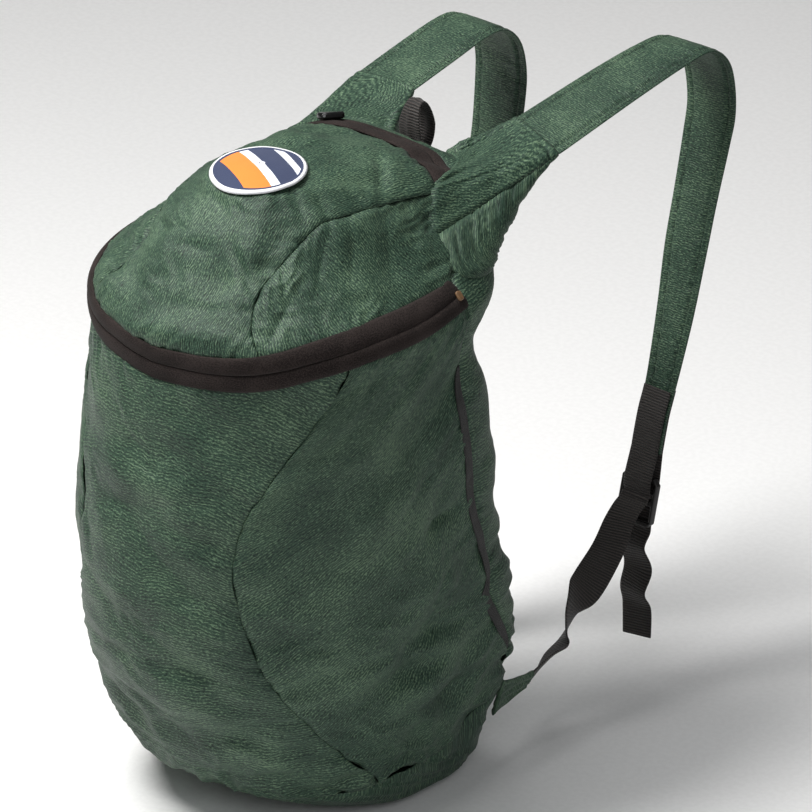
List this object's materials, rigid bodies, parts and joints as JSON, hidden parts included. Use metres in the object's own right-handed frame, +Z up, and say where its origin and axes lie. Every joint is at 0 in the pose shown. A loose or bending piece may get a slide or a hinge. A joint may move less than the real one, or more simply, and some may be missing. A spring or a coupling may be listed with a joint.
{
  "type": "packable backpack",
  "caption": "Thin nylon daypack stuffed full, with a domed lid over a curved front zip and shoulder straps arched as worn.",
  "frame": {"origin": "outer face of the back panel at its top centre, between the strap roots, where the bag hangs on its wearer", "axes": "+X to the bag's right side, +Y from the bag towards the wearer, +Z up"},
  "size_m": [0.2628, 0.498, 0.4705],
  "materials": {
    "nylon": "crinkled ripstop nylon, dark green",
    "strap": "padded nylon, dark green",
    "zip": "matte reversed coil zip tape",
    "webbing": "ribbed webbing, black",
    "ribbon": "woven ribbon, black",
    "plastic": "satin black",
    "enamel": "glossy black enamel",
    "stop": "tan moulded stop",
    "label": "woven patch"
  },
  "bodies": {
    "root": {"front_panel": "nylon", "side_panel_right": "nylon", "side_panel_left": "nylon", "back_panel": "nylon", "base_panel": "nylon", "lid_panel": "nylon", "top_zip_front_tape": "zip", "top_zip_back_tape": "zip", "yoke_panel": "nylon", "lid_side_right": "nylon", "lid_side_left": "nylon", "main_zip_lower_tape": "zip", "main_zip_upper_tape": "zip", "main_zip_end_stop": "stop", "main_zip_slider": "enamel", "top_zip_slider": "enamel", "label_patch": "label", "side_ribbon_right": "ribbon", "side_ribbon_left": "ribbon", "strap_wing_right": "nylon", "strap_wing_left": "nylon", "strap_right": "strap", "strap_left": "strap", "ladder_lock_right": "plastic", "webbing_anchor_right": "webbing", "adjuster_webbing_right": "webbing", "ladder_lock_left": "plastic", "webbing_anchor_left": "webbing", "adjuster_webbing_left": "webbing", "webbing_tab_right": "nylon", "webbing_tab_left": "nylon", "grab_loop": "webbing"}
  },
  "joints": []
}
